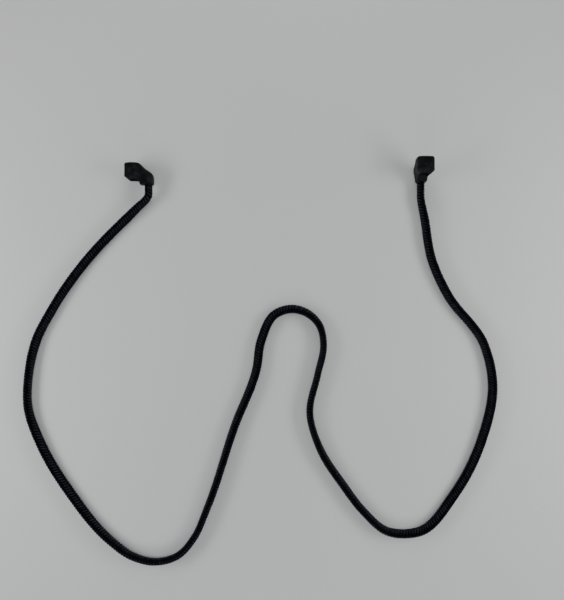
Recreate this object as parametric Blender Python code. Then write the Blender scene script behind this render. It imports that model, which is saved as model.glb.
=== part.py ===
"""Eyeglass retainer strap: a braided neck cord with a moulded rubber temple grip on each end.

Metres, +Z up. The strap lies on a flat surface at z = 0. The origin is on that surface, midway
between the two grips. +X runs from the left grip to the right grip, and +Y is the side that the
eyeglasses' temples come in from. The cord trails away on the -Y side.

A grip is modelled in its own frame. Its origin is the centre of the socket's mouth, +Y runs into
the socket, +X points away from the temple ring, and Z is the grip's thickness.
"""
import math

import bmesh
import bpy
from mathutils import Matrix, Vector

MM = 0.001

# Cord: a tubular braid over a filler core
CORD_RADIUS = 1.95 * MM
BRAID_WALL = 0.6 * MM
CORE_CLEARANCE = 0.25 * MM
CORD_SIDES_RESOLUTION = 2
MAIN_CORD_POINTS = 74
BEND_WEIGHT = 8 * MM
LEFT_LEAD = 5.0 * MM
RIGHT_LEAD = 6.5 * MM
TURN_RADIUS_MARGIN = 0.3 * MM
BEND_DISTANCE = 4.5 * MM

# Ring that slides over the temple of the eyeglasses
STEM_OFFSET = 7.0 * MM
RING_FRONT = 11.0 * MM
RING_CORNER = 1.7 * MM
TUNNEL_HALF_WIDTH = 2.5 * MM
TUNNEL_HALF_HEIGHT = 2.4 * MM
TUNNEL_CORNER = 0.8 * MM
SHOULDER_X = -2.6 * MM
SHOULDER_SLOPE = 1.5 * MM

# Stem with the socket that holds the cord's end
STEM_CORNER = 2.3 * MM
SOCKET_MOUTH_RADIUS = 2.2 * MM
SOCKET_RADIUS = 1.85 * MM
SOCKET_STEP = 1.35 * MM
SOCKET_DEPTH = 5.3 * MM

# Sections along the grip, in millimetres: distance in from the mouth, side next to the ring,
# half thickness there, outer side, half thickness there. The stem comes first, then the step to
# the ring's chamfered back, and last the shoulder that slopes off to the ring's rounded front.
GRIP_SECTIONS = [
    (0.0, -4.15, 2.4, 2.45, 2.6), (0.3, -4.4, 2.6, 2.65, 2.8), (1.0, -4.5, 2.7, 2.65, 2.9),
    (1.9, -4.8, 2.75, 2.65, 3.0), (2.35, -5.6, 2.75, 2.65, 3.05),
    (2.4, -9.9, 2.8, 2.65, 3.05), (3.5, -11.5, 4.1, 2.62, 3.25), (3.9, -11.8, 4.4, 2.57, 3.35),
    (4.6, -11.8, 4.4, 2.4, 3.55), (5.4, -11.8, 4.4, 2.05, 3.75), (6.1, -11.8, 4.4, 1.4, 3.95),
    (7.0, -11.8, 4.4, 0.1, 4.15), (8.1, -11.8, 4.4, -1.5, 4.3), (9.3, -11.8, 4.4, -2.9, 4.4),
    (10.1, -11.8, 4.4, -3.6, 4.4), (10.7, -11.5, 4.1, -4.1, 4.1), (11.0, -10.9, 3.5, -4.8, 3.5),
]

# Crimped ferrule on the cord's end
FERRULE_BACK = 1.95 * MM
FERRULE_FRONT = 4.35 * MM
FERRULE_INNER = 1.35 * MM
FERRULE_OUTER = 1.62 * MM
CRIMP_DEPTH = 0.12 * MM

# Cord end: full size outside, squeezed in the ferrule, with a heat-sealed bead behind it
NECK_RADIUS = 1.1 * MM
BEAD_RADIUS = 1.45 * MM
BEAD_BACK = 4.6 * MM
BEAD_FRONT = 5.0 * MM
NECK_START = 1.65 * MM

# Where the grips lie: the left one on its side, the right one standing on its stem
LEFT_MOUTH = Vector((-67.0, -6.35, 4.4)) * MM
RIGHT_MOUTH = Vector((74.4, -4.65, 2.65)) * MM

ROUND_STEPS = 24
CORNER_STEPS = 4
SHARP_ANGLE = math.radians(40.0)

# The cord's route over the surface, in millimetres, between its two straight leads. The height of
# the first and last few points brings the cord down from its sockets, and the rest lies flat.
CORD_HEIGHT = CORD_RADIUS / MM + 0.03
ROUTE = [
    (-68.8, -14.0, 3.7), (-72.4, -17.0, 2.8), (-77.6, -21.9, CORD_HEIGHT + 0.1),
    (-100.5, -45.8, CORD_HEIGHT), (-112.5, -62.0, CORD_HEIGHT), (-118.8, -72.3, CORD_HEIGHT),
    (-125.8, -85.8, CORD_HEIGHT), (-130.1, -104.5, CORD_HEIGHT), (-130.5, -121.6, CORD_HEIGHT),
    (-124.1, -140.4, CORD_HEIGHT), (-108.1, -167.2, CORD_HEIGHT), (-87.1, -191.8, CORD_HEIGHT),
    (-76.5, -199.4, CORD_HEIGHT), (-64.6, -202.5, CORD_HEIGHT), (-52.1, -199.3, CORD_HEIGHT),
    (-43.7, -189.9, CORD_HEIGHT), (-37.2, -175.2, CORD_HEIGHT), (-22.4, -131.2, CORD_HEIGHT),
    (-11.3, -102.3, CORD_HEIGHT), (-8.7, -86.8, CORD_HEIGHT), (-1.2, -73.2, CORD_HEIGHT),
    (7.1, -70.6, CORD_HEIGHT), (15.6, -73.0, CORD_HEIGHT), (21.8, -79.4, CORD_HEIGHT),
    (23.8, -89.0, CORD_HEIGHT), (20.8, -104.7, CORD_HEIGHT), (16.6, -125.0, CORD_HEIGHT),
    (21.7, -143.1, CORD_HEIGHT), (34.3, -163.0, CORD_HEIGHT), (44.4, -176.1, CORD_HEIGHT),
    (57.0, -186.7, CORD_HEIGHT), (74.0, -186.8, CORD_HEIGHT), (91.9, -167.8, CORD_HEIGHT),
    (106.6, -138.5, CORD_HEIGHT), (112.1, -109.5, CORD_HEIGHT), (107.6, -89.2, CORD_HEIGHT),
    (88.4, -62.9, CORD_HEIGHT), (80.4, -45.1, CORD_HEIGHT), (76.5, -23.0, CORD_HEIGHT),
]


def clear_scene():
    for item in list(bpy.data.objects):
        bpy.data.objects.remove(item, do_unlink=True)


def add_object(name, data):
    item = bpy.data.objects.new(name, data)
    bpy.context.scene.collection.objects.link(item)
    return item


def add_material(item, colour, roughness, metallic=0.0):
    material = bpy.data.materials.new(item.name)
    material.use_nodes = True
    shader = material.node_tree.nodes["Principled BSDF"]
    shader.inputs["Base Color"].default_value = (*colour, 1.0)
    shader.inputs["Roughness"].default_value = roughness
    shader.inputs["Metallic"].default_value = metallic
    item.data.materials.clear()
    item.data.materials.append(material)


def bake(item):
    """The item's mesh with its modifiers applied."""
    graph = bpy.context.evaluated_depsgraph_get()
    return bpy.data.meshes.new_from_object(item.evaluated_get(graph))


# ---------------------------------------------------------------- cord

def smooth_curve(points, start_direction, end_direction, steps=24):
    """Cubic pieces through the points, with the given directions at both ends."""
    spans = [(b - a).length for a, b in zip(points, points[1:])]
    slopes = [start_direction.normalized()]
    for index in range(1, len(points) - 1):
        before = (points[index] - points[index - 1]) / spans[index - 1]
        after = (points[index + 1] - points[index]) / spans[index]
        share = spans[index - 1] / (spans[index - 1] + spans[index])
        slopes.append(before.lerp(after, share))
    slopes.append(end_direction.normalized())
    line = [points[0]]
    for index, span in enumerate(spans):
        for step in range(1, steps + 1):
            t = step / steps
            start_weight = 2 * t ** 3 - 3 * t ** 2 + 1
            leave_weight = (t ** 3 - 2 * t ** 2 + t) * span
            reach_weight = (t ** 3 - t ** 2) * span
            line.append(points[index] * start_weight + slopes[index] * leave_weight
                        + points[index + 1] * (1 - start_weight)
                        + slopes[index + 1] * reach_weight)
    return line


def spaced_points(line, count):
    """The given number of points along a line, closer together where it bends."""
    reached = [0.0]
    heading = line[1] - line[0]
    for a, b in zip(line, line[1:]):
        turn = heading.angle(b - a)
        heading = b - a
        reached.append(reached[-1] + heading.length + BEND_WEIGHT * turn)
    spaced = []
    segment = 0
    for index in range(count):
        target = reached[-1] * index / (count - 1)
        while segment < len(line) - 2 and reached[segment + 1] < target:
            segment += 1
        share = (target - reached[segment]) / (reached[segment + 1] - reached[segment])
        spaced.append(line[segment].lerp(line[segment + 1], share))
    return spaced


def main_cord_line():
    """Points from the left bend axis to the right one, straight at both ends."""
    out = Vector((0.0, -1.0, 0.0))
    start = LEFT_MOUTH + out * LEFT_LEAD
    end = RIGHT_MOUTH + out * RIGHT_LEAD
    free = [start] + [Vector(point) * MM for point in ROUTE] + [end]
    laid = spaced_points(smooth_curve(free, out, -out), MAIN_CORD_POINTS)
    for point in laid:
        point.z = max(point.z, CORD_HEIGHT * MM)
    return [LEFT_MOUTH + out * BEND_DISTANCE] + laid + [RIGHT_MOUTH + out * BEND_DISTANCE]


def round_off(line, radius, tip_angles, tip_sphere):
    """Add a rounded tip to both ends of a line, centred on its end points."""
    tip = [(math.sin(angle) * tip_sphere, math.cos(angle) * tip_sphere) for angle in tip_angles]
    first = (line[0] - line[1]).normalized()
    last = (line[-1] - line[-2]).normalized()
    points = [line[0] + first * distance for distance, _ in reversed(tip)]
    points += line
    points += [line[-1] + last * distance for distance, _ in tip]
    widths = [width for _, width in tip]
    radii = widths[::-1] + [radius] * len(line) + widths
    return points, radii


def tube(name, points, radii, caps=True):
    """A curve object: a round tube through the points."""
    curve = bpy.data.curves.new(name, "CURVE")
    curve.dimensions = "3D"
    curve.bevel_depth = 1.0
    curve.bevel_resolution = CORD_SIDES_RESOLUTION
    curve.use_fill_caps = caps
    spline = curve.splines.new("POLY")
    spline.points.add(len(points) - 1)
    for place, point, radius in zip(spline.points, points, radii):
        place.co = (*point, 1.0)
        place.radius = radius
    return add_object(name, curve)


def hollow_tube(name, outer_points, outer_radii, bore_radius):
    """A tube with an open bore along its whole length."""
    skin = tube(name + "_skin", outer_points, outer_radii, caps=False)
    bore = tube(name + "_bore", outer_points, [bore_radius] * len(outer_points), caps=False)
    shell = bmesh.new()
    shell.from_mesh(bake(bore))
    bmesh.ops.reverse_faces(shell, faces=shell.faces)
    shell.from_mesh(bake(skin))
    for end in (outer_points[0], outer_points[-1]):
        rim = [edge for edge in shell.edges if edge.is_boundary
               and (edge.verts[0].co - end).length < 2 * CORD_RADIUS]
        bmesh.ops.bridge_loops(shell, edges=rim)
    bmesh.ops.recalc_face_normals(shell, faces=shell.faces)
    mesh = bpy.data.meshes.new(name)
    shell.to_mesh(mesh)
    shell.free()
    bpy.data.objects.remove(skin, do_unlink=True)
    bpy.data.objects.remove(bore, do_unlink=True)
    mesh.shade_smooth()
    mesh.set_sharp_from_angle(angle=SHARP_ANGLE)
    return add_object(name, mesh)


def build_main_cord():
    line = main_cord_line()
    angles = [math.radians(degrees) for degrees in (14, 27, 40)]
    points, radii = round_off(line, CORD_RADIUS, angles, CORD_RADIUS)
    sheath = hollow_tube("cord_sheath", points, radii, CORD_RADIUS - BRAID_WALL)
    add_material(sheath, (0.012, 0.013, 0.017), 0.75)

    core_radius = CORD_RADIUS - BRAID_WALL - CORE_CLEARANCE
    core_angles = [math.radians(degrees) for degrees in (52, 68)]
    points, radii = round_off(line, core_radius, core_angles, CORD_RADIUS - CORE_CLEARANCE)
    core = tube("cord_core", points, radii)
    add_material(core, (0.03, 0.03, 0.034), 0.9)


# ---------------------------------------------------------------- grips

def arc(centre_x, centre_z, radius, start, y, steps=CORNER_STEPS):
    """Points along a quarter circle in a plane across the Y axis, from an angle in degrees."""
    angles = [math.radians(start + 90.0 * step / steps) for step in range(steps + 1)]
    return [Vector((centre_x + radius * math.cos(angle), y, centre_z + radius * math.sin(angle)))
            for angle in angles]


def body_section(y, low, ring_half, high, stem_half):
    """Section of the grip across the Y axis: as thick as the ring at -X, as the stem at +X."""
    ring_corner = min(RING_CORNER, 0.6 * ring_half)
    stem_corner = min(STEM_CORNER, 0.45 * (high - low), 0.8 * stem_half)
    left = low + ring_corner
    right = high - stem_corner
    shoulder = min(SHOULDER_X, right - SHOULDER_SLOPE)
    top = ring_half - ring_corner
    side = stem_half - stem_corner
    return (arc(right, side, stem_corner, 0, y) + [Vector((shoulder, y, ring_half))]
            + arc(left, top, ring_corner, 90, y) + arc(left, -top, ring_corner, 180, y)
            + [Vector((shoulder, y, -ring_half))] + arc(right, -side, stem_corner, 270, y))


def rectangle_section(centre_x, half_width, half_height, corner, y):
    """Section of a block with round corners, across the Y axis."""
    points = []
    for start, sign_x, sign_z in ((0, 1, 1), (90, -1, 1), (180, -1, -1), (270, 1, -1)):
        points += arc(centre_x + sign_x * (half_width - corner),
                      sign_z * (half_height - corner), corner, start, y)
    return points


def loft(name, sections):
    """A closed solid through sections that all have the same number of points."""
    solid = bmesh.new()
    loops = [[solid.verts.new(point) for point in section] for section in sections]
    for near, far in zip(loops, loops[1:]):
        for index, vertex in enumerate(near):
            following = (index + 1) % len(near)
            solid.faces.new((vertex, near[following], far[following], far[index]))
    solid.faces.new(reversed(loops[0]))
    solid.faces.new(loops[-1])
    bmesh.ops.recalc_face_normals(solid, faces=solid.faces)
    mesh = bpy.data.meshes.new(name)
    solid.to_mesh(mesh)
    solid.free()
    return add_object(name, mesh)


def turned(name, profile, steps=ROUND_STEPS):
    """A solid turned about the Y axis. A profile that starts off the axis makes a ring."""
    solid = bmesh.new()
    loop = [solid.verts.new((radius, y, 0.0)) for radius, y in profile]
    edges = [solid.edges.new((a, b)) for a, b in zip(loop, loop[1:])]
    if profile[0][0] > 0:
        edges.append(solid.edges.new((loop[-1], loop[0])))
    bmesh.ops.spin(solid, geom=loop + edges, cent=(0, 0, 0), axis=(0, 1, 0),
                   angle=math.tau, steps=steps, use_merge=True)
    bmesh.ops.remove_doubles(solid, verts=solid.verts, dist=0.001 * MM)
    bmesh.ops.dissolve_degenerate(solid, edges=solid.edges, dist=0.001 * MM)
    bmesh.ops.recalc_face_normals(solid, faces=solid.faces)
    mesh = bpy.data.meshes.new(name)
    solid.to_mesh(mesh)
    solid.free()
    mesh.shade_smooth()
    mesh.set_sharp_from_angle(angle=SHARP_ANGLE)
    return add_object(name, mesh)


def grip_mesh():
    """The moulded grip: ring, web and stem in one, with the temple tunnel and cord socket."""
    grip = loft("grip", [body_section(*(value * MM for value in row)) for row in GRIP_SECTIONS])
    tunnel = loft("tunnel", [
        rectangle_section(-STEM_OFFSET, TUNNEL_HALF_WIDTH, TUNNEL_HALF_HEIGHT, TUNNEL_CORNER, y)
        for y in (-1.0 * MM, RING_FRONT + 1.0 * MM)])
    socket = turned("socket", [
        (0.0, -1.0 * MM), (SOCKET_MOUTH_RADIUS, -1.0 * MM), (SOCKET_MOUTH_RADIUS, SOCKET_STEP),
        (SOCKET_RADIUS, SOCKET_STEP + 0.3 * MM), (SOCKET_RADIUS, SOCKET_DEPTH),
        (0.0, SOCKET_DEPTH)])
    for tool in (tunnel, socket):
        modifier = grip.modifiers.new(tool.name, "BOOLEAN")
        modifier.operation = "DIFFERENCE"
        modifier.solver = "EXACT"
        modifier.object = tool
    mesh = bake(grip)
    for item in (grip, tunnel, socket):
        bpy.data.objects.remove(item, do_unlink=True)
    mesh.shade_smooth()
    mesh.set_sharp_from_angle(angle=SHARP_ANGLE)
    return mesh


def ferrule_profile():
    """Section of the crimp ring, with two crimp grooves around it."""
    length = FERRULE_FRONT - FERRULE_BACK
    outside = [(0.0, 0.0), (0.2, 0.0), (0.3, 1.0), (0.4, 0.0), (0.6, 0.0), (0.7, 1.0),
               (0.8, 0.0), (1.0, 0.0)]
    profile = [(FERRULE_OUTER - depth * CRIMP_DEPTH, FERRULE_BACK + share * length)
               for share, depth in outside]
    return profile + [(FERRULE_INNER, FERRULE_FRONT), (FERRULE_INNER, FERRULE_BACK)]


def cord_end_profile():
    """Half section of the cord's end, from outside the socket to its sealed bead."""
    start = CORD_RADIUS + TURN_RADIUS_MARGIN - BEND_DISTANCE
    return [
        (0.0, start), (CORD_RADIUS, start), (CORD_RADIUS, SOCKET_STEP - 0.3 * MM),
        (NECK_RADIUS, NECK_START), (NECK_RADIUS, FERRULE_FRONT + 0.05 * MM),
        (BEAD_RADIUS, BEAD_BACK), (BEAD_RADIUS, BEAD_FRONT - 0.1 * MM),
        (BEAD_RADIUS - 0.25 * MM, BEAD_FRONT), (0.0, BEAD_FRONT),
    ]


def build_end(side, mouth, roll, grip):
    """One end of the strap: its two joint axes, the cord end, the ferrule and the grip."""
    turn = Matrix.Rotation(roll, 4, "Y")
    bend_axis = add_object(side + "_bend_axis", None)
    bend_axis.matrix_world = Matrix.Translation(mouth - Vector((0, BEND_DISTANCE, 0)))
    twist_axis = add_object(side + "_twist_axis", None)
    twist_axis.parent = bend_axis
    twist_axis.matrix_basis = Matrix.Translation((0, BEND_DISTANCE, 0)) @ turn

    cord_end = turned(side + "_cord_end", cord_end_profile(), steps=16)
    cord_end.parent = bend_axis
    cord_end.location = (0, BEND_DISTANCE, 0)
    add_material(cord_end, (0.012, 0.013, 0.017), 0.75)

    ferrule = turned(side + "_ferrule", ferrule_profile())
    ferrule.parent = bend_axis
    ferrule.location = (0, BEND_DISTANCE, 0)
    add_material(ferrule, (0.62, 0.60, 0.56), 0.35, metallic=1.0)

    piece = add_object(side + "_grip", grip.copy())
    piece.parent = twist_axis
    add_material(piece, (0.035, 0.035, 0.038), 0.62)


def main():
    clear_scene()
    build_main_cord()
    grip = grip_mesh()
    build_end("left", LEFT_MOUTH, 0.0, grip)
    build_end("right", RIGHT_MOUTH, math.radians(90.0), grip)
    bpy.context.view_layer.update()


main()
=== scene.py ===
"""Looks of the eyeglass retainer strap: its braided cord, rubber grips and crimp rings.

The cord is laid yarn by yarn. A yarn's points are first given on the cord itself, as the distance
along it, the share of a turn round it, and the height over the middle of the braid, and lay()
then puts them in place round the cord's line. Lengths are in millimetres until a mesh is made.
"""

import math

import bmesh
import bpy
import numpy as np
from mathutils import Matrix, Vector, noise


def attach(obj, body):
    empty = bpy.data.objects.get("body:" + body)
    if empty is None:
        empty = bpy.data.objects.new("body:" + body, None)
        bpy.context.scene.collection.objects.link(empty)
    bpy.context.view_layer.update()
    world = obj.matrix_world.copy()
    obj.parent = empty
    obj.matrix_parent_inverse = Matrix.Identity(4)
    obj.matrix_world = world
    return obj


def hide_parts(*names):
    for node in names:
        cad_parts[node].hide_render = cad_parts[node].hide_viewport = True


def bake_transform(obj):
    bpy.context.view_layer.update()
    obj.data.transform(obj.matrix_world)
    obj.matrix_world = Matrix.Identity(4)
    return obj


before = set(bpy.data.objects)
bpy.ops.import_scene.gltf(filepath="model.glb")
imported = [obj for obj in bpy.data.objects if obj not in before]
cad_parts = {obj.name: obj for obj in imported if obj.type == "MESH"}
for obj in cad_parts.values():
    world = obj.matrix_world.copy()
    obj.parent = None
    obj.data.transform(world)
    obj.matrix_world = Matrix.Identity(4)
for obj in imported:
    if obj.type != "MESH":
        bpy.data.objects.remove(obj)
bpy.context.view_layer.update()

MM = 0.001
TAU = math.tau

# Camera, straight above the strap
CAMERA_PLACE = (0.0021, -0.06595, 0.280)
CAMERA_LENS = 31.92
SENSOR = 36.0

# The cord's line, on the same route as in the frame
CORD_RADIUS = 1.95
LEFT_LEAD = 5.0
RIGHT_LEAD = 6.5
LEFT_MOUTH = Vector((-67.0, -6.35, 4.4))
RIGHT_MOUTH = Vector((74.4, -4.65, 2.65))
FLOOR_CLEARANCE = 0.03
CORD_HEIGHT = CORD_RADIUS + FLOOR_CLEARANCE
LINE_TAIL = 8.0
LINE_STEP = 0.25
LINE_SOFTENING = 2.0
CURVE_STEPS = 24
PATH_STEP = 2.0
ROUTE = [
    (-68.8, -14.0, 3.7), (-72.4, -17.0, 2.8), (-77.6, -21.9, CORD_HEIGHT + 0.1),
    (-100.5, -45.8, CORD_HEIGHT), (-112.5, -62.0, CORD_HEIGHT), (-118.8, -72.3, CORD_HEIGHT),
    (-125.8, -85.8, CORD_HEIGHT), (-130.1, -104.5, CORD_HEIGHT), (-130.5, -121.6, CORD_HEIGHT),
    (-124.1, -140.4, CORD_HEIGHT), (-108.1, -167.2, CORD_HEIGHT), (-87.1, -191.8, CORD_HEIGHT),
    (-76.5, -199.4, CORD_HEIGHT), (-64.6, -202.5, CORD_HEIGHT), (-52.1, -199.3, CORD_HEIGHT),
    (-43.7, -189.9, CORD_HEIGHT), (-37.2, -175.2, CORD_HEIGHT), (-22.4, -131.2, CORD_HEIGHT),
    (-11.3, -102.3, CORD_HEIGHT), (-8.7, -86.8, CORD_HEIGHT), (-1.2, -73.2, CORD_HEIGHT),
    (7.1, -70.6, CORD_HEIGHT), (15.6, -73.0, CORD_HEIGHT), (21.8, -79.4, CORD_HEIGHT),
    (23.8, -89.0, CORD_HEIGHT), (20.8, -104.7, CORD_HEIGHT), (16.6, -125.0, CORD_HEIGHT),
    (21.7, -143.1, CORD_HEIGHT), (34.3, -163.0, CORD_HEIGHT), (44.4, -176.1, CORD_HEIGHT),
    (57.0, -186.7, CORD_HEIGHT), (74.0, -186.8, CORD_HEIGHT), (91.9, -167.8, CORD_HEIGHT),
    (106.6, -138.5, CORD_HEIGHT), (112.1, -109.5, CORD_HEIGHT), (107.6, -89.2, CORD_HEIGHT),
    (88.4, -62.9, CORD_HEIGHT), (80.4, -45.1, CORD_HEIGHT), (76.5, -23.0, CORD_HEIGHT),
]

# Braid: an oval tube of yarns, two over and two under, that turns on its side here and there.
# Each wander is the size of a random sway along a yarn and the length of its waves.
BRAID_SEED = 41
YARNS_EACH_WAY = 4
RIB_PITCH = 1.5
YARN_HALF_THICKNESS = 0.40
YARN_WAVE = 0.30
YARN_WAVE_FLATNESS = 1.8
YARN_COVER = YARN_HALF_THICKNESS + YARN_WAVE
HEIGHT_WANDER = (0.018, 7.0)
SIDE_WANDER = (0.035, 11.0)
WIDTH_WANDER = (0.03, 5.0)
WANDER_WAVES = 4
COLUMN_TURN = 0.17
YARN_FILL = 0.86
YARN_STEP = 0.36
YARN_SIDES = 10
# Where the yarns' colour gets a painted highlight: far enough over the crossing yarns, and on the
# top of a yarn's section; elsewhere it is painted shade.
LIT_WHEN_OVER = (-0.10, 0.75)
LIT_ON_TOP = (0.7, 1.0)
OVAL_WIDE = 2.54
OVAL_NARROW = 1.90
ROUND_RADIUS = 2.10
ROUND_NEAR_MOUTH = 6.0
OVAL_FROM_MOUTH = 24.0
CORE_THREADS = 7
THREAD_SIDES = 6
CORE_CLEARANCE = 0.13
CORE_RIDGE = 0.07
CORE_STEP = 1.1
CORE_INSET = 0.3
ROLL_STEPS = 400
ROLL_SOFTENING = 8
ROLLS = [  # mm along the cord, degrees that its oval section is turned from lying flat
    (0, 30), (28, 30), (46, 19), (64, 26), (82, 44), (100, 28), (118, 66), (136, 70), (154, 48),
    (190, 38), (208, 62), (226, 72), (244, 90), (262, 84), (280, 64), (298, 54), (316, 47),
    (334, 38), (352, 34), (370, 22), (388, 6), (406, 34), (424, 52), (442, 85), (460, 64),
    (478, 68), (496, 50), (514, 44), (532, 56), (550, 54), (568, 54), (586, 26), (604, 25),
    (622, 36), (640, 28), (658, 45), (676, 46), (694, 40), (712, 38), (730, 46), (768, 50),
]

# The cord's ends, in the sockets
SPLIT_FROM_MOUTH = 11.0
END_DEPTH = 4.5
SQUEEZE_FROM = 0.6
SQUEEZE_TO = 1.5
SQUEEZE = 0.63
BEAD_MIDDLE = 4.78
BEAD_HALF_LENGTH = 0.26
BEAD_RADIUS = 1.42
BEAD_ROUNDNESS = 0.6
BEAD_ROWS = 9
BEAD_SIDES = 32
BEAD_LUMPS = 0.12
BEAD_LUMP_SCALE = 1.3

# Grip, in its own frame: the middle of the socket's mouth is its origin, +Y runs into the socket,
# +X points away from the temple ring, and Z is its thickness. A section is the distance in from
# the mouth, the side next to the ring, half the thickness there, the outer side and half the
# thickness there.
GRIP_SECTIONS = [
    (0.0, -4.15, 2.4, 2.45, 2.6), (0.3, -4.4, 2.6, 2.65, 2.8), (1.0, -4.5, 2.7, 2.65, 2.9),
    (1.9, -4.8, 2.75, 2.65, 3.0), (2.35, -5.6, 2.75, 2.65, 3.05),
    (2.4, -9.9, 2.8, 2.62, 3.05), (3.5, -11.5, 4.1, 2.5, 3.25), (3.9, -11.8, 4.4, 2.44, 3.35),
    (4.6, -11.8, 4.4, 2.3, 3.4), (5.4, -11.8, 4.4, 2.0, 3.45), (6.1, -11.8, 4.4, 1.4, 3.5),
    (7.0, -11.8, 4.4, 0.1, 3.65), (8.1, -11.8, 4.4, -1.5, 3.85), (9.3, -11.8, 4.4, -2.9, 4.1),
    (10.1, -11.8, 4.4, -3.6, 4.2), (10.7, -11.5, 4.1, -4.1, 4.0), (11.0, -10.9, 3.5, -4.8, 3.5),
]
STEM_OFFSET = 7.0
RING_FRONT = 11.0
RING_CORNER = 1.7
RING_CORNER_SHARE = 0.6
TUNNEL_HALF_WIDTH = 2.5
TUNNEL_HALF_HEIGHT = 2.4
TUNNEL_CORNER = 0.8
SHOULDER_X = -2.6
SHOULDER_SLOPE = 1.5
STEM_CORNER = 2.3
STEM_CORNER_SHARES = (0.45, 0.8)
SOCKET_MOUTH_RADIUS = 2.2
SOCKET_RADIUS = 1.85
SOCKET_STEP = 1.35
SOCKET_TAPER = 0.3
SOCKET_DEPTH = 5.3
SOCKET_SIDES = 48
CUT_PAST = 1.0
ARC_STEPS = 10
GRIP_VOXEL = 0.14
GRIP_SMOOTHING = 5
UNEVEN = 0.07
UNEVEN_SCALE = 0.45
EVEN_ROUND_SOCKET = 0.15
EVEN_PAST_SOCKET = 0.3
EVEN_BESIDE_TUNNEL = 0.3
SEAM_HEIGHT = 0.07
SEAM_HALF_WIDTH = 0.22
GRIPS = {  # side: its socket's mouth, how far it is turned about the socket, where its noise starts
    "left": (LEFT_MOUTH, 0.0, 3.0),
    "right": (RIGHT_MOUTH, 90.0, 11.0),
}

# Floor and light, in metres and watts
FLOOR_RADIUS = 5.0
FLOOR_SIDES = 96
LIGHT_COLOUR = (1.0, 0.99, 0.975)
LIT_MIDDLE = (0.0, -0.09, 0.0)
SIDE_LIGHTS = {"left": (180, 0.50), "right": (0, 0.50), "front": (270, 0.20), "back": (90, 0.20)}
SIDE_REACH = 0.31
SIDE_HEIGHT = 0.15
SIDE_SIZE = (0.26, 0.09)
TOP_PLACE = (0.0, -0.09, 0.6)
TOP_SIZE = (0.10, 0.10)
TOP_POWER = 0.42
SKY_COLOUR = (0.92, 0.95, 1.0, 1.0)
SKY_STRENGTH = 0.13


def add_object(name, data):
    item = bpy.data.objects.new(name, data)
    bpy.context.scene.collection.objects.link(item)
    return item


def smoothstep(value, low, high):
    share = np.clip((value - low) / (high - low), 0.0, 1.0)
    return share * share * (3.0 - 2.0 * share)


# ---------------------------------------------------------------- the cord's line

def smooth_curve(points, start_direction, end_direction):
    """Cubic pieces through the points, with the given directions at both ends."""
    spans = [(b - a).length for a, b in zip(points, points[1:])]
    slopes = [start_direction.normalized()]
    for index in range(1, len(points) - 1):
        before = (points[index] - points[index - 1]) / spans[index - 1]
        after = (points[index + 1] - points[index]) / spans[index]
        share = spans[index - 1] / (spans[index - 1] + spans[index])
        slopes.append(before.lerp(after, share))
    slopes.append(end_direction.normalized())
    line = [points[0]]
    for index, span in enumerate(spans):
        for step in range(1, CURVE_STEPS + 1):
            t = step / CURVE_STEPS
            start_weight = 2 * t ** 3 - 3 * t ** 2 + 1
            leave_weight = (t ** 3 - 2 * t ** 2 + t) * span
            reach_weight = (t ** 3 - t ** 2) * span
            line.append(points[index] * start_weight + slopes[index] * leave_weight
                        + points[index + 1] * (1 - start_weight)
                        + slopes[index + 1] * reach_weight)
    return line


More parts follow.
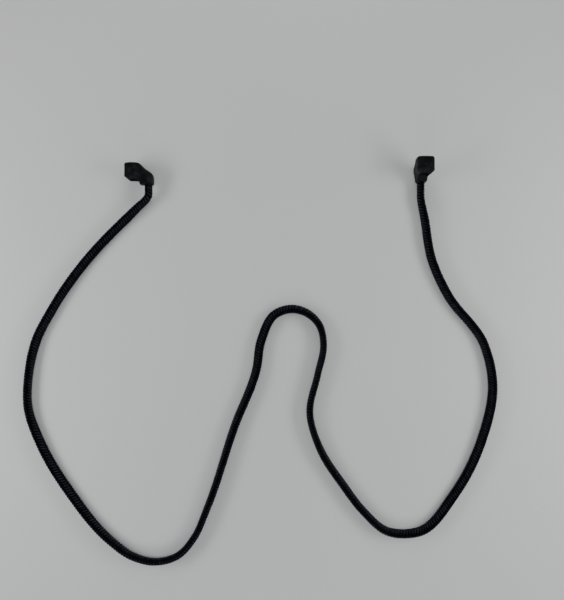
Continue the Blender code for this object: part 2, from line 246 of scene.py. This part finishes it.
class Cord:
    """The cord's line and section. u is the distance along it from the left socket's mouth."""

    def __init__(self):
        out = Vector((0.0, -1.0, 0.0))
        start = LEFT_MOUTH + out * LEFT_LEAD
        end = RIGHT_MOUTH + out * RIGHT_LEAD
        free = [start] + [Vector(point) for point in ROUTE] + [end]
        line = [LEFT_MOUTH - out * LINE_TAIL, LEFT_MOUTH] + smooth_curve(free, out, -out)
        line += [RIGHT_MOUTH, RIGHT_MOUTH - out * LINE_TAIL]
        line = np.array([tuple(point) for point in line])
        line[:, 2] = np.maximum(line[:, 2], CORD_HEIGHT)
        spans = np.linalg.norm(np.diff(line, axis=0), axis=1)
        reached = np.concatenate([[0.0], np.cumsum(spans)])
        self.u = np.arange(0.0, reached[-1], LINE_STEP) - LINE_TAIL
        self.length = reached[-1] - 2 * LINE_TAIL
        place = np.stack([np.interp(self.u + LINE_TAIL, reached, line[:, k]) for k in range(3)], 1)
        width = int(round(LINE_SOFTENING / LINE_STEP)) * 2 + 1
        window = np.hanning(width + 2)[1:-1]
        window /= window.sum()
        edge = width // 2
        padded = np.pad(place, ((edge, edge), (0, 0)), mode="reflect", reflect_type="odd")
        self.place = np.stack([np.convolve(padded[:, k], window, "valid") for k in range(3)], 1)
        rise = self.half_height(self.u) - CORD_HEIGHT
        self.place[:, 2] += rise * self.away_from_mouths(self.u)
        along = np.gradient(self.place, axis=0)
        along /= np.linalg.norm(along, axis=1)[:, None]
        side = np.cross(along, (0.0, 0.0, 1.0))
        self.side = side / np.linalg.norm(side, axis=1)[:, None]
        self.top = np.cross(self.side, along)

    def at(self, rows, u):
        """The row for each distance u, between the two nearest ones."""
        return np.stack([np.interp(u, self.u, rows[:, k]) for k in range(3)], -1)

    def away_from_mouths(self, u):
        """0 near the mouths, where the cord is round, and 1 where it is fully oval."""
        near = np.minimum(u, self.length - u)
        return smoothstep(near, ROUND_NEAR_MOUTH, OVAL_FROM_MOUTH)

    def roll(self, u):
        """How far the oval section is turned from lying flat, in radians."""
        places, turns = zip(*ROLLS)
        places = np.array(places) * self.length / places[-1]
        fine = np.linspace(places[0], places[-1], ROLL_STEPS)
        raw = np.interp(fine, places, np.radians(turns))
        window = np.hanning(2 * ROLL_SOFTENING + 1)
        padded = np.pad(raw, ROLL_SOFTENING, mode="edge")
        soft = np.convolve(padded, window / window.sum(), "valid")
        return np.interp(u, fine, soft)

    def half_axes(self, u):
        """Outer half width and half thickness of the oval section, before it is turned."""
        oval = self.away_from_mouths(u)
        wide = ROUND_RADIUS + (OVAL_WIDE - ROUND_RADIUS) * oval
        narrow = ROUND_RADIUS + (OVAL_NARROW - ROUND_RADIUS) * oval
        return wide, narrow

    def half_height(self, u):
        """Half the height of the turned section."""
        wide, narrow = self.half_axes(u)
        roll = self.roll(u)
        return np.hypot(wide * np.sin(roll), narrow * np.cos(roll))

    def squeeze(self, u):
        """The section's scale: 1 along the cord, and less where a ferrule crimps its end."""
        depth = -np.minimum(u, self.length - u)
        return 1.0 - (1.0 - SQUEEZE) * smoothstep(depth, SQUEEZE_FROM, SQUEEZE_TO)

    def lay(self, u, q, h):
        """Points in place, from distance along the cord, share of a turn and height."""
        wide, narrow = (half - YARN_COVER for half in self.half_axes(u))
        uneven = (wide ** 2 - narrow ** 2) / (wide ** 2 + narrow ** 2)
        angle = TAU * q + 0.25 * uneven * np.sin(2 * TAU * q)
        across = (wide + h) * np.cos(angle) * self.squeeze(u)
        up = (narrow + h) * np.sin(angle) * self.squeeze(u)
        roll = self.roll(u)
        x = across * np.cos(roll) - up * np.sin(roll)
        z = across * np.sin(roll) + up * np.cos(roll)
        return (self.at(self.place, u) + self.at(self.side, u) * x[..., None]
                + self.at(self.top, u) * z[..., None])


# ---------------------------------------------------------------- yarns

def wander(rng, u, size, wavelength):
    """A smooth random wave along the cord."""
    total = np.zeros_like(u)
    for wave in range(WANDER_WAVES):
        length = wavelength * (0.6 + 0.5 * wave) * rng.uniform(0.85, 1.15)
        total += np.sin(TAU * u / length + rng.uniform(0, TAU))
    return size * total / math.sqrt(WANDER_WAVES)


def yarn_points(cord, way, index, rng, u):
    """Rings of points round one yarn, their places in the yarn's own space and their painted
    crest light, from 0 for painted shade in the gaps to 1 for a painted highlight on top."""
    lead = RIB_PITCH * YARNS_EACH_WAY
    girth = TAU * math.sqrt(((OVAL_WIDE - YARN_COVER) ** 2 + (OVAL_NARROW - YARN_COVER) ** 2) / 2)
    slant = math.atan2(girth, lead)
    half_width = 0.5 * RIB_PITCH * math.sin(slant) * YARN_FILL
    q = way * u / lead + index / YARNS_EACH_WAY + COLUMN_TURN
    over = way * np.cos(math.pi * (YARNS_EACH_WAY * (q - COLUMN_TURN) - 0.25))
    height = YARN_WAVE * np.tanh(YARN_WAVE_FLATNESS * over) / math.tanh(YARN_WAVE_FLATNESS)
    height = height + wander(rng, u, *HEIGHT_WANDER)
    shift = wander(rng, u, *SIDE_WANDER)
    width = half_width * (1.0 + wander(rng, u, *WIDTH_WANDER))
    round_angle = TAU * (np.arange(YARN_SIDES) + 0.5) / YARN_SIDES
    across = width[:, None] * np.cos(round_angle)[None, :] + shift[:, None]
    lift = YARN_HALF_THICKNESS * np.sin(round_angle)[None, :] * np.ones_like(across)
    ring_u = u[:, None] - across * math.sin(slant) * way
    ring_q = q[:, None] + across * math.cos(slant) / girth
    ring_h = height[:, None] + lift
    placed = cord.lay(ring_u, ring_q, ring_h)
    along = np.broadcast_to((u / math.cos(slant))[:, None], across.shape)
    own = np.stack([along, across, lift], -1) + rng.uniform(-50.0, 50.0, 3)
    on_top = np.sin(round_angle)[None, :]
    # Painted light: a painted highlight on top of each float, painted shade in the gaps between
    # yarns.
    painted_crest_light = smoothstep(over[:, None], *LIT_WHEN_OVER) * smoothstep(on_top, *LIT_ON_TOP)
    return placed, np.concatenate([own, painted_crest_light[..., None]], -1)


def ring_faces(rings, sides, first):
    """Quads between rings of points, and a cap on each end."""
    a = np.arange((rings - 1) * sides).reshape(rings - 1, sides)
    b = np.roll(a, -1, axis=1)
    quads = np.stack([a, b, b + sides, a + sides], -1).reshape(-1, 4) + first
    low = tuple(first + np.arange(sides)[::-1])
    high = tuple(first + (rings - 1) * sides + np.arange(sides))
    return quads, [low, high]


def rings_mesh(name, groups):
    """A mesh of tubes. Each group is its rings of points, and their places in the yarn's own
    space with their painted crest light: a painted highlight on the crests, painted shade in the
    gaps."""
    points, own, quads, caps = [], [], [], []
    first = 0
    for placed, local in groups:
        rings, sides = placed.shape[:2]
        group_quads, group_caps = ring_faces(rings, sides, first)
        quads.append(group_quads)
        caps += group_caps
        points.append(placed.reshape(-1, 3))
        own.append(local.reshape(-1, 4))
        first += rings * sides
    points = np.concatenate(points) * MM
    own = np.concatenate(own)
    quads = np.concatenate(quads)
    corners = np.concatenate([quads.ravel()] + [np.array(cap) for cap in caps])
    sizes = np.array([4] * len(quads) + [len(cap) for cap in caps])
    starts = np.concatenate([[0], np.cumsum(sizes)[:-1]])
    mesh = bpy.data.meshes.new(name)
    mesh.vertices.add(len(points))
    mesh.vertices.foreach_set("co", points.astype(np.float32).ravel())
    mesh.loops.add(len(corners))
    mesh.loops.foreach_set("vertex_index", corners.astype(np.int32))
    mesh.polygons.add(len(sizes))
    mesh.polygons.foreach_set("loop_start", starts.astype(np.int32))
    mesh.update(calc_edges=True)
    mesh.validate()
    layer = mesh.attributes.new("yarn", "FLOAT_VECTOR", "POINT")
    layer.data.foreach_set("vector", own[:, :3].astype(np.float32).ravel())
    # Painted light per point: 1 for a painted highlight on the crests, 0 for painted shade in the
    # gaps.
    layer = mesh.attributes.new("painted_crest_light", "FLOAT", "POINT")
    layer.data.foreach_set("value", own[:, 3].astype(np.float32))
    mesh.shade_smooth()
    mesh.set_sharp_from_angle(angle=math.radians(70.0))
    return add_object(name, mesh)


def core_points(cord, stations):
    """The filler inside the braid, a bundle of soft threads pressed into an oval."""
    sides = CORE_THREADS * THREAD_SIDES
    turn = np.arange(sides) / sides
    u, q = np.meshgrid(stations, turn, indexing="ij")
    ridge = CORE_RIDGE * np.abs(np.sin(math.pi * CORE_THREADS * q))
    placed = cord.lay(u, q, ridge - YARN_COVER - CORE_CLEARANCE)
    # The filler gets no painted crest light, so it takes the yarn's darkest, painted-shade colour.
    own = np.stack([u, np.cos(TAU * q), np.sin(TAU * q), np.zeros_like(u)], -1)
    return placed, own


def build_braid(cord):
    """The cord's pieces: yarns of each way and the filler along it, and both its ends."""
    rng = np.random.default_rng(BRAID_SEED)
    stations = np.arange(-END_DEPTH, cord.length + END_DEPTH + YARN_STEP, YARN_STEP)
    left_cut = int(np.argmin(abs(stations - SPLIT_FROM_MOUTH)))
    right_cut = int(np.argmin(abs(stations - (cord.length - SPLIT_FROM_MOUTH))))
    names = ("left_braid_end", "right_braid_end", "braid_yarns_a", "braid_yarns_b", "core_threads")
    parts = {name: [] for name in names}
    for way, name in ((1, "braid_yarns_a"), (-1, "braid_yarns_b")):
        for index in range(YARNS_EACH_WAY):
            placed, own = yarn_points(cord, way, index, rng, stations)
            parts["left_braid_end"].append((placed[:left_cut + 1], own[:left_cut + 1]))
            parts[name].append((placed[left_cut:right_cut + 1], own[left_cut:right_cut + 1]))
            parts["right_braid_end"].append((placed[right_cut:], own[right_cut:]))
    first, last = CORE_INSET - END_DEPTH, cord.length + END_DEPTH - CORE_INSET
    left_stop, right_stop = stations[left_cut], stations[right_cut]
    for name, start, stop in (("left_braid_end", first, left_stop),
                              ("core_threads", left_stop, right_stop),
                              ("right_braid_end", right_stop, last)):
        count = int(math.ceil((stop - start) / CORE_STEP)) + 1
        parts[name].append(core_points(cord, np.linspace(start, stop, count)))
    return {name: rings_mesh(name, groups) for name, groups in parts.items()}


# ---------------------------------------------------------------- grips and cord ends

def arc(centre_x, centre_z, radius, start, y):
    """Points along a quarter circle in a plane across the Y axis, from an angle in degrees."""
    angles = [math.radians(start + 90.0 * step / ARC_STEPS) for step in range(ARC_STEPS + 1)]
    return [Vector((centre_x + radius * math.cos(angle), y, centre_z + radius * math.sin(angle)))
            for angle in angles]


def body_section(y, low, ring_half, high, stem_half):
    """Section of the grip across the Y axis: as thick as the ring at -X, as the stem at +X."""
    width_share, height_share = STEM_CORNER_SHARES
    ring_corner = min(RING_CORNER, RING_CORNER_SHARE * ring_half)
    stem_corner = min(STEM_CORNER, width_share * (high - low), height_share * stem_half)
    left = low + ring_corner
    right = high - stem_corner
    shoulder = min(SHOULDER_X, right - SHOULDER_SLOPE)
    top = ring_half - ring_corner
    side = stem_half - stem_corner
    return (arc(right, side, stem_corner, 0, y) + [Vector((shoulder, y, ring_half))]
            + arc(left, top, ring_corner, 90, y) + arc(left, -top, ring_corner, 180, y)
            + [Vector((shoulder, y, -ring_half))] + arc(right, -side, stem_corner, 270, y))


def rectangle_section(centre_x, half_width, half_height, corner, y):
    """Section of a block with round corners, across the Y axis."""
    points = []
    for start, sign_x, sign_z in ((0, 1, 1), (90, -1, 1), (180, -1, -1), (270, 1, -1)):
        points += arc(centre_x + sign_x * (half_width - corner),
                      sign_z * (half_height - corner), corner, start, y)
    return points


def loft(name, sections):
    """A closed solid through sections that all have the same number of points."""
    solid = bmesh.new()
    loops = [[solid.verts.new(point) for point in section] for section in sections]
    for near, far in zip(loops, loops[1:]):
        for index, vertex in enumerate(near):
            following = (index + 1) % len(near)
            solid.faces.new((vertex, near[following], far[following], far[index]))
    solid.faces.new(reversed(loops[0]))
    solid.faces.new(loops[-1])
    bmesh.ops.recalc_face_normals(solid, faces=solid.faces)
    mesh = bpy.data.meshes.new(name)
    solid.to_mesh(mesh)
    solid.free()
    return add_object(name, mesh)


def turned(name, profile, steps):
    """A closed solid turned about the Y axis, from radii and places along it."""
    sections = []
    for radius, y in profile:
        angles = [TAU * step / steps for step in range(steps)]
        sections.append([Vector((radius * math.cos(a), y, radius * math.sin(a))) for a in angles])
    return loft(name, sections)


def soften(item):
    """Round off every edge a little, as moulding does."""
    remesh = item.modifiers.new("remesh", "REMESH")
    remesh.mode = "VOXEL"
    remesh.voxel_size = GRIP_VOXEL
    smooth = item.modifiers.new("smooth", "SMOOTH")
    smooth.factor = 0.5
    smooth.iterations = GRIP_SMOOTHING


def grip_mesh():
    """The moulded grip in its own frame, with the temple tunnel and the cord's socket."""
    grip = loft("grip", [body_section(*row) for row in GRIP_SECTIONS])
    tunnel = loft("tunnel", [
        rectangle_section(-STEM_OFFSET, TUNNEL_HALF_WIDTH, TUNNEL_HALF_HEIGHT, TUNNEL_CORNER, y)
        for y in (-CUT_PAST, RING_FRONT + CUT_PAST)])
    socket = turned("socket", [
        (SOCKET_MOUTH_RADIUS, -CUT_PAST), (SOCKET_MOUTH_RADIUS, SOCKET_STEP),
        (SOCKET_RADIUS, SOCKET_STEP + SOCKET_TAPER), (SOCKET_RADIUS, SOCKET_DEPTH)], SOCKET_SIDES)
    for tool in (tunnel, socket):
        modifier = grip.modifiers.new(tool.name, "BOOLEAN")
        modifier.operation = "DIFFERENCE"
        modifier.solver = "EXACT"
        modifier.object = tool
    soften(grip)
    graph = bpy.context.evaluated_depsgraph_get()
    mesh = bpy.data.meshes.new_from_object(grip.evaluated_get(graph))
    for item in (grip, tunnel, socket):
        bpy.data.objects.remove(item, do_unlink=True)
    return mesh


def build_grip(name, mesh, mouth, turn, seed):
    """One grip in place. Its outside is slightly uneven, with the mould's fine parting line."""
    mesh = mesh.copy()
    offset = Vector((seed, 0.0, 0.0))
    socket_radius = SOCKET_MOUTH_RADIUS + EVEN_ROUND_SOCKET
    socket_end = SOCKET_DEPTH + EVEN_PAST_SOCKET
    tunnel_half_width = TUNNEL_HALF_WIDTH + EVEN_BESIDE_TUNNEL
    moves = []
    for vertex in mesh.vertices:
        point, normal = vertex.co, vertex.normal
        in_socket = math.hypot(point.x, point.z) < socket_radius and point.y < socket_end
        in_tunnel = abs(point.x + STEM_OFFSET) < tunnel_half_width and abs(normal.y) < 0.5
        move = 0.0 if in_socket else UNEVEN * noise.noise(point * UNEVEN_SCALE + offset)
        if not in_socket and not in_tunnel:
            move += SEAM_HEIGHT * max(0.0, 1.0 - abs(point.z) / SEAM_HALF_WIDTH)
        moves.append(normal * move)
    for vertex, move in zip(mesh.vertices, moves):
        vertex.co += move
    place = Matrix.Translation(mouth) @ Matrix.Rotation(math.radians(turn), 4, "Y")
    mesh.transform(Matrix.Scale(MM, 4) @ place)
    mesh.shade_smooth()
    return add_object(name, mesh)


def build_bead(name, mouth, seed):
    """The cord's heat-sealed end, a lumpy bead of melted yarn behind the ferrule."""
    profile = []
    for row in range(BEAD_ROWS):
        angle = math.pi * (row + 0.5) / BEAD_ROWS
        y = BEAD_MIDDLE - BEAD_HALF_LENGTH * math.cos(angle)
        profile.append((BEAD_RADIUS * math.sin(angle) ** BEAD_ROUNDNESS, y))
    bead = turned(name, profile, BEAD_SIDES)
    offset = Vector((0.0, seed, 0.0))
    for vertex in bead.data.vertices:
        bumps = noise.noise(vertex.co * BEAD_LUMP_SCALE + offset)
        lump = 1.0 - BEAD_LUMPS * (0.5 + 0.5 * bumps)
        vertex.co.x *= lump
        vertex.co.z *= lump
    bead.data.transform(Matrix.Scale(MM, 4) @ Matrix.Translation(mouth))
    bead.data.shade_smooth()
    return bead


# ---------------------------------------------------------------- materials

class Shader:
    """A node material that is built up step by step."""

    def __init__(self, name):
        self.material = bpy.data.materials.new(name)
        self.material.use_nodes = True
        self.tree = self.material.node_tree
        self.surface = self.tree.nodes["Principled BSDF"]

    def node(self, kind, **values):
        node = self.tree.nodes.new(kind)
        for key, value in values.items():
            setattr(node, key, value)
        return node

    def link(self, source, target):
        self.tree.links.new(source, target)

    def place(self, scale, attribute=None):
        """Coordinates for the textures, in the piece's own space or in the yarn's."""
        if attribute:
            source = self.node("ShaderNodeAttribute", attribute_name=attribute).outputs["Vector"]
        else:
            source = self.node("ShaderNodeTexCoord").outputs["Object"]
        mapping = self.node("ShaderNodeMapping")
        mapping.inputs["Scale"].default_value = scale
        self.link(source, mapping.inputs["Vector"])
        return mapping.outputs["Vector"]

    def noise(self, place, scale, detail, roughness=0.55):
        node = self.node("ShaderNodeTexNoise")
        node.inputs["Scale"].default_value = scale
        node.inputs["Detail"].default_value = detail
        node.inputs["Roughness"].default_value = roughness
        self.link(place, node.inputs["Vector"])
        return node.outputs["Fac"]

    def ramp(self, value, stops):
        """Colours along a value; each stop is a position and an RGB colour."""
        node = self.node("ShaderNodeValToRGB")
        elements = node.color_ramp.elements
        while len(elements) < len(stops):
            elements.new(0.5)
        for element, (position, colour) in zip(elements, stops):
            element.position = position
            element.color = (*colour, 1.0)
        self.link(value, node.inputs["Fac"])
        return node.outputs["Color"]

    def math(self, operation, first, second):
        node = self.node("ShaderNodeMath", operation=operation)
        self.link(first, node.inputs[0])
        self.link(second, node.inputs[1])
        return node.outputs[0]

    def range(self, value, low, high):
        """A noise's usual span of values, stretched from low to high."""
        node = self.node("ShaderNodeMapRange")
        node.inputs["From Min"].default_value = 0.3
        node.inputs["From Max"].default_value = 0.7
        node.inputs["To Min"].default_value = low
        node.inputs["To Max"].default_value = high
        self.link(value, node.inputs["Value"])
        return node.outputs["Result"]

    def bump(self, height, distance, strength, before=None):
        node = self.node("ShaderNodeBump")
        node.inputs["Distance"].default_value = distance
        node.inputs["Strength"].default_value = strength
        self.link(height, node.inputs["Height"])
        if before is not None:
            self.link(before, node.inputs["Normal"])
        return node.outputs["Normal"]

    def finish(self, colour, roughness, normal, **constants):
        self.link(colour, self.surface.inputs["Base Color"])
        self.link(roughness, self.surface.inputs["Roughness"])
        self.link(normal, self.surface.inputs["Normal"])
        for key, value in constants.items():
            self.surface.inputs[key.replace("_", " ")].default_value = value
        return self.material


def yarn_material():
    """Black filament yarn: fine filaments along each yarn, uneven dye, painted shade in the gaps
    and a painted highlight on the crests.
    """
    shader = Shader("black_yarn")
    filaments = shader.noise(shader.place((0.35, 9.0, 9.0), "yarn"), scale=1.6, detail=2.0)
    dye = shader.noise(shader.place((0.25, 0.6, 0.6), "yarn"), scale=1.0, detail=3.0)
    painted_crest_light = shader.node("ShaderNodeAttribute", attribute_name="painted_crest_light").outputs["Fac"]
    uneven = shader.math("ADD", filaments, dye)
    light = shader.math("MULTIPLY", uneven, painted_crest_light)
    # Painted light: near black as painted shade in the gaps, up to a painted highlight on the
    # crests; filaments and dye vary it at random.
    colour = shader.ramp(light, [(0.0, (0.0001, 0.0002, 0.0006)), (0.45, (0.0017, 0.0022, 0.0044)),
                                 (1.0, (0.0520, 0.0590, 0.0850))])
    roughness = shader.range(filaments, low=0.40, high=0.28)
    normal = shader.bump(filaments, distance=0.00008, strength=0.55)
    return shader.finish(colour, roughness, normal, Specular_IOR_Level=0.12)


def rubber_material():
    """Matt black moulded rubber: mottled, finely grained, rubbed a little paler on its edges."""
    shader = Shader("black_rubber")
    place = shader.place((1.0, 1.0, 1.0))
    mottle = shader.noise(place, scale=320.0, detail=4.0, roughness=0.6)
    grain = shader.noise(place, scale=5200.0, detail=2.0)
    edge = shader.node("ShaderNodeNewGeometry").outputs["Pointiness"]
    rubbed = shader.ramp(edge, [(0.49, (0.0, 0.0, 0.0)), (0.56, (1.0, 1.0, 1.0))])
    plain = shader.ramp(mottle, [(0.40, (0.0030, 0.0032, 0.0042)), (0.51, (0.0058, 0.0061, 0.0074)),
                                 (0.63, (0.0160, 0.0168, 0.0190))])
    mixed = shader.node("ShaderNodeMix", data_type="RGBA")
    shader.link(shader.math("MULTIPLY", rubbed, mottle), mixed.inputs["Factor"])
    shader.link(plain, mixed.inputs["A"])
    mixed.inputs["B"].default_value = (0.018, 0.019, 0.021, 1.0)
    roughness = shader.range(mottle, low=0.68, high=0.50)
    coarse = shader.bump(mottle, distance=0.00010, strength=0.35)
    normal = shader.bump(grain, distance=0.00003, strength=0.5, before=coarse)
    return shader.finish(mixed.outputs["Result"], roughness, normal, Specular_IOR_Level=0.25)


def ferrule_material():
    """Nickel-plated brass, faintly brushed round and tarnished in blotches."""
    shader = Shader("plated_crimp")
    brushed = shader.noise(shader.place((900.0, 9000.0, 900.0)), scale=1.0, detail=2.0)
    tarnish = shader.noise(shader.place((1.0, 1.0, 1.0)), scale=900.0, detail=3.0)
    colour = shader.ramp(tarnish, [(0.35, (0.38, 0.35, 0.30)), (0.6, (0.62, 0.60, 0.56))])
    roughness = shader.range(tarnish, low=0.45, high=0.25)
    normal = shader.bump(brushed, distance=0.00001, strength=0.4)
    return shader.finish(colour, roughness, normal, Metallic=1.0)


def bead_material():
    """Melted polyester: glassy black, with a few duller specks."""
    shader = Shader("melted_yarn")
    specks = shader.noise(shader.place((1.0, 1.0, 1.0)), scale=1800.0, detail=3.0)
    colour = shader.ramp(specks, [(0.4, (0.004, 0.004, 0.005)), (0.7, (0.013, 0.013, 0.015))])
    roughness = shader.range(specks, low=0.18, high=0.4)
    normal = shader.bump(specks, distance=0.00003, strength=0.4)
    return shader.finish(colour, roughness, normal, Specular_IOR_Level=0.5)


def floor_material():
    """Plain pale card, faintly grained and cloudy."""
    shader = Shader("pale_floor")
    place = shader.place((1.0, 1.0, 1.0))
    grain = shader.noise(place, scale=900.0, detail=3.0)
    cloud = shader.noise(place, scale=6.0, detail=2.0)
    colour = shader.ramp(cloud, [(0.3, (0.80, 0.815, 0.825)), (0.7, (0.83, 0.84, 0.85))])
    roughness = shader.range(grain, low=0.85, high=0.95)
    normal = shader.bump(grain, distance=0.0001, strength=0.15)
    return shader.finish(colour, roughness, normal, Specular_IOR_Level=0.2)


# ---------------------------------------------------------------- stage

def build_camera():
    data = bpy.data.cameras.new("camera")
    data.lens = CAMERA_LENS
    data.sensor_width = SENSOR
    data.clip_start = 0.01
    camera = add_object("camera", data)
    camera.location = CAMERA_PLACE
    bpy.context.scene.camera = camera


def build_floor():
    mesh = bpy.data.meshes.new("floor")
    plane = bmesh.new()
    bmesh.ops.create_circle(plane, cap_ends=True, segments=FLOOR_SIDES, radius=FLOOR_RADIUS)
    plane.to_mesh(mesh)
    plane.free()
    mesh.materials.append(floor_material())
    add_object("floor", mesh)


def add_light(name, place, size, power, gloss):
    """A rectangular lamp that faces the middle of the strap; gloss says if it makes glints."""
    data = bpy.data.lights.new(name, "AREA")
    data.shape = "RECTANGLE"
    data.size, data.size_y = size
    data.energy = power
    data.color = LIGHT_COLOUR
    light = add_object(name, data)
    light.location = place
    light.rotation_euler = (Vector(LIT_MIDDLE) - Vector(place)).to_track_quat("-Z", "Y").to_euler()
    light.visible_camera = False
    light.visible_glossy = gloss


def build_lights():
    """Low lamps all round, so that soft shadows fall towards the middle, and one on top."""
    for side, (angle, power) in SIDE_LIGHTS.items():
        turn = math.radians(angle)
        place = (SIDE_REACH * math.cos(turn), LIT_MIDDLE[1] + SIDE_REACH * math.sin(turn),
                 SIDE_HEIGHT)
        add_light(side + "_light", place, SIDE_SIZE, power, gloss=False)
    add_light("top_light", TOP_PLACE, TOP_SIZE, TOP_POWER, gloss=True)
    world = bpy.data.worlds.new("world")
    world.use_nodes = True
    background = world.node_tree.nodes["Background"]
    background.inputs["Color"].default_value = SKY_COLOUR
    background.inputs["Strength"].default_value = SKY_STRENGTH
    bpy.context.scene.world = world


# ---------------------------------------------------------------- put together

def main():
    build_camera()
    build_floor()
    build_lights()

    cord = Cord()
    braid = build_braid(cord)
    yarn = yarn_material()
    for piece in braid.values():
        piece.data.materials.append(yarn)

    main_piece = braid["braid_yarns_a"]
    core = braid["core_threads"]
    for piece in (main_piece, braid["braid_yarns_b"], core):
        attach(piece, "cord")
    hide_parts("cord_sheath")
    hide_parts("cord_core")

    moulded = grip_mesh()
    rubber = rubber_material()
    plated = ferrule_material()
    melted = bead_material()
    for side, (mouth, turn, seed) in GRIPS.items():
        piece = braid[side + "_braid_end"]
        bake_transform(piece)
        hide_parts(side + "_cord_end")

        bead = build_bead(side + "_melted_bead", mouth, seed)
        bead.data.materials.append(melted)
        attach(bead, side + "_end")

        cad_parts[side + "_ferrule"].material_slots[0].material = plated

        grip = build_grip(side + "_moulded_grip", moulded, mouth, turn, seed)
        grip.data.materials.append(rubber)
        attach(grip, side + "_grip_body")
        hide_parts(side + "_grip")

    path = cord.at(cord.place, np.arange(0.0, cord.length, PATH_STEP)) * MM


main()
